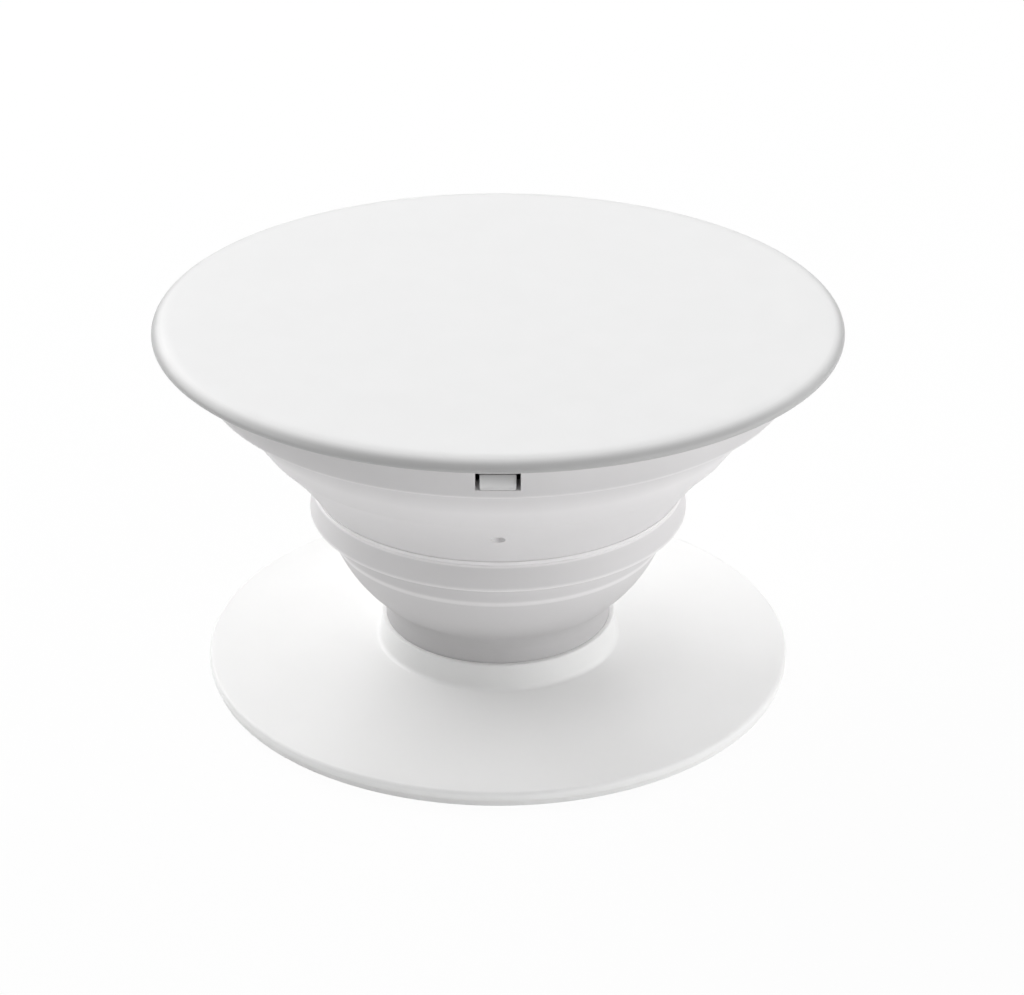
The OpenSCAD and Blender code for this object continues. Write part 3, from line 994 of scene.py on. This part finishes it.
class GRIP_OT_middle_ring(bpy.types.Operator):
    """Model the accordion's middle ring, with its skirt, lip and ledge"""
    bl_idname = "grip.middle_ring"
    bl_label = "Middle Ring"

    def execute(self, context):
        sizes = context.scene.grip_sizes
        node = "accordion_middle_ring"
        places = web_levels()
        lip_r = radius(node)
        skirt_r, skirt_z = places["skirt"]
        web_r, top_z = places["ledge"]
        lip_z = skirt_z + sizes.skirt
        top_r = lip_r - sizes.middle_draft
        bevel = sizes.lip_bevel
        small = sizes.lip_round
        top_small = sizes.middle_round
        lower_wall = level_wall(places["neck"], places["skirt"], sizes.web)
        upper_wall = level_wall(places["ledge"], places["crease"], sizes.web)
        outline = [(skirt_r, skirt_z), (skirt_r + bevel, lip_z - bevel), (lip_r - bevel, lip_z)]
        outline += arc((lip_r - small, lip_z + small), small, small, -60, 0)
        outline += arc((top_r - top_small, top_z - top_small), top_small, top_small, 0, 60)
        web_slope = Vector((places["crease"][0] - web_r, places["crease"][1] - top_z)).normalized()
        joint = Vector((web_r, top_z)) + web_slope * sizes.ledge_fillet
        outline += [tuple(joint), (joint.x - upper_wall / 3, joint.y), (web_r - upper_wall, top_z),
                    (skirt_r + bevel - sizes.middle_wall, lip_z),
                    (skirt_r - lower_wall, skirt_z)]
        bm = turned(outline)
        obj = make_piece(bm, node, accordion_finish_and_painted_shading())
        keep_flats(obj)
        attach(obj, "middle")
        return {"FINISHED"}


class GRIP_OT_top_ring(bpy.types.Operator):
    """Model the accordion's top ring and shoulder, and cut the latch windows through it"""
    bl_idname = "grip.top_ring"
    bl_label = "Top Ring"

    def execute(self, context):
        sizes = context.scene.grip_sizes
        latches = context.scene.grip_latches
        node = "accordion_top_ring"
        places = web_levels()
        top_r, low_r, bore_r, ring_z, top_z = ring_levels()
        crease_r, crease_z = places["crease"]
        wall = level_wall(places["ledge"], places["crease"], sizes.web)
        shoulder_r = low_r - sizes.ring_overhang
        slope = (ring_z - crease_z) / (shoulder_r - crease_r)
        inside_z = crease_z + (bore_r - crease_r + wall) * slope
        sill_z = ring_z + latches.sill
        head_z = sill_z + latches.window_height
        drift = sizes.ring_draft / sizes.ring_height
        outline = [
            (crease_r, crease_z), (shoulder_r, ring_z), (low_r, ring_z),
            (low_r + drift * latches.sill, sill_z), (low_r + drift * (head_z - ring_z), head_z),
            (top_r, top_z), (bore_r, top_z), (bore_r, head_z), (bore_r, sill_z),
            (bore_r, inside_z), (crease_r - wall, crease_z)]
        bm = turned(outline)
        self.cut_windows(bm, latches, bore_r, sill_z, head_z)
        soften_circle(bm, (low_r, ring_z), sizes.ring_round, 4)
        soften_circle(bm, (top_r, top_z), sizes.edge)
        obj = make_piece(bm, node, accordion_finish_and_painted_shading())
        keep_flats(obj)
        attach(obj, "top")
        return {"FINISHED"}

    def cut_windows(self, bm, latches, bore_r, sill_z, head_z):
        """Opens each latch window and joins its outer edge to its inner one."""
        half = latches.window_width / 2
        for index in range(latches.count):
            angle = 2 * math.pi * index / latches.count - math.pi / 2
            out = Vector((math.cos(angle), math.sin(angle), 0.0))
            across = Vector((-out.y, out.x, 0.0))

            def near(part, reach):
                centre = part.calc_center_median()
                inside = sill_z < centre.z < head_z and centre.dot(out) > bore_r / 2
                return inside and abs(centre.dot(across)) < reach

            for side in (-half, half):
                faces = [face for face in bm.faces if near(face, 2 * half)]
                parts = {part for face in faces for part in (*face.verts, *face.edges)}
                bmesh.ops.bisect_plane(
                    bm, geom=list(parts) + faces, dist=MERGE,
                    plane_co=across * side, plane_no=across)
            opened = [face for face in bm.faces if near(face, half)]
            rims = {edge for face in opened for edge in face.edges
                    if sum(near(other, half) for other in edge.link_faces) == 1}
            bmesh.ops.delete(bm, geom=opened, context="FACES")
            rims = [edge for edge in rims if edge.is_valid]
            bmesh.ops.bridge_loops(bm, edges=rims)
        bmesh.ops.recalc_face_normals(bm, faces=bm.faces)


class GRIP_OT_disc(bpy.types.Operator):
    """Model the finger disc and the hooks under it that catch in the latch windows"""
    bl_idname = "grip.disc"
    bl_label = "Finger Disc"

    def execute(self, context):
        sizes = context.scene.grip_sizes
        node = "top_disc"
        edge_r = radius(node)
        under_z = high("accordion_top_ring")
        top_z = high(node)
        edge_z = under_z + sizes.disc_edge
        small = sizes.disc_edge_round
        wide = sizes.disc_round
        outline = [(0.0, under_z), (edge_r - sizes.disc_bevel, under_z)]
        outline += arc((edge_r - small, edge_z), small, small, -60, 0)
        outline += arc((edge_r - wide, edge_z), wide, top_z - edge_z, 0, 90, WIDE_STEPS)[1:]
        outline += [(0.0, top_z)]
        bm = turned(outline, closed=False)
        add_mesh(bm, self.hooks(context, under_z))
        obj = make_piece(bm, node, disc_finish_and_painted_shade())
        keep_flats(obj)
        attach(obj, "top")
        return {"FINISHED"}

    def hooks(self, context, under_z):
        """The legs under the disc, each with a hook whose face shows in a window."""
        sizes = context.scene.grip_sizes
        latches = context.scene.grip_latches
        low_r, bore_r = ring_levels()[1:3]
        sill_z, catch_z = hook_levels()
        hook_z = sill_z + latches.sill_gap
        leg_r = bore_r - latches.leg_gap
        face_r = low_r - latches.recess
        width = latches.window_width - 2 * latches.side_gap
        root_z = under_z + sizes.edge
        back_r = leg_r - latches.leg
        bm = self.block(back_r, face_r, width, hook_z, catch_z)
        self.hollow_face(bm, face_r, hook_z, catch_z, latches.hook_slant)
        corners = [edge for edge in bm.edges
                   if all(abs(vert.co.z - hook_z) < TINY for vert in edge.verts)
                   and abs(edge.verts[0].co.y - edge.verts[1].co.y) < TINY]
        soften(bm, corners, latches.hook_round, 5)
        sides = [edge for edge in bm.edges
                 if all(vert.co.x > face_r - latches.hook_slant - TINY for vert in edge.verts)
                 and sum(abs(face.normal.y) > 0.9 for face in edge.link_faces) == 1
                 and edge.calc_face_angle(0.0) > SHARP_ANGLE]
        soften(bm, sides, latches.hook_side, 4)
        leg = self.block(back_r, leg_r, width - sizes.edge / 2, hook_z + sizes.edge, root_z)
        add_mesh(bm, leg)
        copies_around(bm, latches.count)
        return bm

    def hollow_face(self, bm, face_r, low_z, high_z, slant):
        """Cuts the outer face of a hook into rows and draws them back toward its top in a hollow."""
        rows = 8
        for row in range(1, rows):
            bmesh.ops.bisect_plane(
                bm, geom=list(bm.verts) + list(bm.edges) + list(bm.faces), dist=MERGE,
                plane_co=(0.0, 0.0, low_z + (high_z - low_z) * row / rows), plane_no=(0, 0, 1))
        for vert in bm.verts:
            if vert.co.x > face_r - TINY:
                share = (vert.co.z - low_z) / (high_z - low_z)
                vert.co.x -= slant * math.sqrt(max(share, 0.0))

    def block(self, in_r, out_r, width, low_z, high_z):
        """A block that reaches out along X between two radii and two heights."""
        bm = bmesh.new()
        size = Matrix.Diagonal((out_r - in_r, width, high_z - low_z, 1.0))
        middle = Matrix.Translation(((in_r + out_r) / 2, 0.0, (low_z + high_z) / 2))
        bmesh.ops.create_cube(bm, size=1.0, matrix=middle @ size)
        return bm


class GRIP_OT_stage(bpy.types.Operator):
    """Set the pale floor, the soft lamps, the white surround and the camera"""
    bl_idname = "grip.stage"
    bl_label = "Studio"

    def execute(self, context):
        self.make_floor(context)
        self.make_surround(context)
        self.make_lamps(context)
        self.make_camera(context)
        context.scene.view_settings.view_transform = "Standard"
        return {"FINISHED"}

    def make_floor(self, context):
        """A wide pale floor that the camera sees nearly white, with the grip's faint shadow."""
        bm = bmesh.new()
        bmesh.ops.create_grid(bm, x_segments=1, y_segments=1, size=1.5)
        bmesh.ops.translate(bm, verts=list(bm.verts), vec=(0.0, 0.0, -0.02 * MM))
        mesh = bpy.data.meshes.new("studio_floor")
        bm.to_mesh(mesh)
        bm.free()
        floor = bpy.data.objects.new("studio_floor", mesh)
        context.scene.collection.objects.link(floor)
        colour = tuple(context.scene.grip_finishes.floor_white)
        material = bpy.data.materials.new("Pale studio floor")
        material.use_nodes = True
        tree = material.node_tree
        surface = tree.nodes["Principled BSDF"]
        surface.inputs["Base Color"].default_value = (*colour, 1.0)
        surface.inputs["Roughness"].default_value = 0.9
        surface.inputs["Specular IOR Level"].default_value = 0.1
        white = tree.nodes.new("ShaderNodeEmission")
        white.inputs["Color"].default_value = (1.0, 1.0, 1.0, 1.0)
        sight = tree.nodes.new("ShaderNodeLightPath")
        glow = tree.nodes.new("ShaderNodeMath")
        glow.operation = "MULTIPLY"
        glow.inputs[1].default_value = context.scene.grip_studio.floor_glow
        link(tree, sight, "Is Camera Ray", glow, 0)
        blend = tree.nodes.new("ShaderNodeMixShader")
        link(tree, glow, "Value", blend, "Fac")
        tree.links.new(surface.outputs["BSDF"], blend.inputs[1])
        tree.links.new(white.outputs["Emission"], blend.inputs[2])
        link(tree, blend, "Shader", tree.nodes["Material Output"], "Surface")
        mesh.materials.append(material)

    def make_surround(self, context):
        """Even light from all round, which the camera sees as plain white."""
        world = bpy.data.worlds.new("White surround")
        context.scene.world = world
        world.use_nodes = True
        tree = world.node_tree
        background = tree.nodes["Background"]
        background.inputs["Color"].default_value = (1.0, 1.0, 1.0, 1.0)
        sight = tree.nodes.new("ShaderNodeLightPath")
        strength = tree.nodes.new("ShaderNodeMapRange")
        strength.inputs["To Min"].default_value = context.scene.grip_studio.surround
        strength.inputs["To Max"].default_value = 1.0
        link(tree, sight, "Is Camera Ray", strength, "Value")
        link(tree, strength, "Result", background, "Strength")

    def make_lamps(self, context):
        """Soft panels aimed at the grip; azimuth 0 is on the camera's side and 90 to its right."""
        studio = context.scene.grip_studio
        for name, azimuth, elevation, watts in (
            ("Back panel", 180, 32, 0.92),
            ("Left back panel", -135, 32, 2.1),
            ("Left panel", -90, 32, 1.3),
            ("Right back panel", 135, 32, 1.0),
            ("Right panel", 90, 8, 1.0),
            ("Right front panel", 45, 8, 1.5),
            ("High right front panel", 45, 58, 0.68),
        ):
            lamp = bpy.data.lights.new(name, "AREA")
            lamp.shape = "RECTANGLE"
            lamp.size = studio.lamp_width
            lamp.size_y = studio.lamp_height
            lamp.energy = watts
            obj = bpy.data.objects.new(name, lamp)
            context.scene.collection.objects.link(obj)
            turn, lift = math.radians(azimuth), math.radians(elevation)
            out = Vector((math.sin(turn) * math.cos(lift), -math.cos(turn) * math.cos(lift),
                          math.sin(lift)))
            obj.location = Vector((0, 0, studio.aim)) + out * studio.lamp_distance
            obj.rotation_euler = (-out).to_track_quat("-Z", "Y").to_euler()

    def make_camera(self, context):
        """The camera, in front of the grip and above it."""
        studio = context.scene.grip_studio
        data = bpy.data.cameras.new("Camera")
        data.lens = studio.lens
        data.shift_x = studio.shift[0]
        data.shift_y = studio.shift[1]
        data.clip_start = 0.01
        data.clip_end = 20.0
        camera = bpy.data.objects.new("Camera", data)
        context.scene.collection.objects.link(camera)
        out = Vector((0.0, -math.cos(studio.elevation), math.sin(studio.elevation)))
        camera.location = Vector((0.0, 0.0, studio.aim)) + out * studio.distance
        camera.rotation_euler = (-out).to_track_quat("-Z", "Y").to_euler()
        context.scene.camera = camera


class GRIP_PT_panel(bpy.types.Panel):
    """Lists the steps that build the grip"""
    bl_label = "Phone Grip"
    bl_idname = "GRIP_PT_panel"
    bl_space_type = "VIEW_3D"
    bl_region_type = "UI"
    bl_category = "Phone Grip"

    def draw(self, context):
        column = self.layout.column(align=True)
        for operator in OPERATORS:
            column.operator(operator.bl_idname)
        for group, heading in GROUPS.values():
            box = self.layout.box()
            box.label(text=heading)
            values = getattr(context.scene, group)
            for name in values.__annotations__:
                box.prop(values, name)


OPERATORS = (
    GRIP_OT_pad,
    GRIP_OT_base,
    GRIP_OT_foot,
    GRIP_OT_webs,
    GRIP_OT_middle_ring,
    GRIP_OT_top_ring,
    GRIP_OT_disc,
    GRIP_OT_stage,
)

GROUPS = {
    GripSizes: ("grip_sizes", "Sizes"),
    GripLatches: ("grip_latches", "Latches"),
    # The Finishes heading holds the colours and the painted light and shade
    GripFinishesAndPaintedShading: ("grip_finishes", "Finishes"),
    GripStudio: ("grip_studio", "Studio"),
}


def register():
    for group, (name, heading) in GROUPS.items():
        bpy.utils.register_class(group)
        setattr(bpy.types.Scene, name, PointerProperty(type=group, name=heading))
    for cls in (*OPERATORS, GRIP_PT_panel):
        bpy.utils.register_class(cls)


def unregister():
    for cls in (GRIP_PT_panel, *reversed(OPERATORS)):
        bpy.utils.unregister_class(cls)
    for group, (name, _) in GROUPS.items():
        delattr(bpy.types.Scene, name)
        bpy.utils.unregister_class(group)


def main():
    """Builds every piece and the studio."""
    register()
    bpy.ops.grip.pad()
    bpy.ops.grip.base()
    bpy.ops.grip.foot()
    bpy.ops.grip.webs()
    bpy.ops.grip.middle_ring()
    bpy.ops.grip.top_ring()
    bpy.ops.grip.disc()
    bpy.ops.grip.stage()


if __name__ == "__main__":
    main()
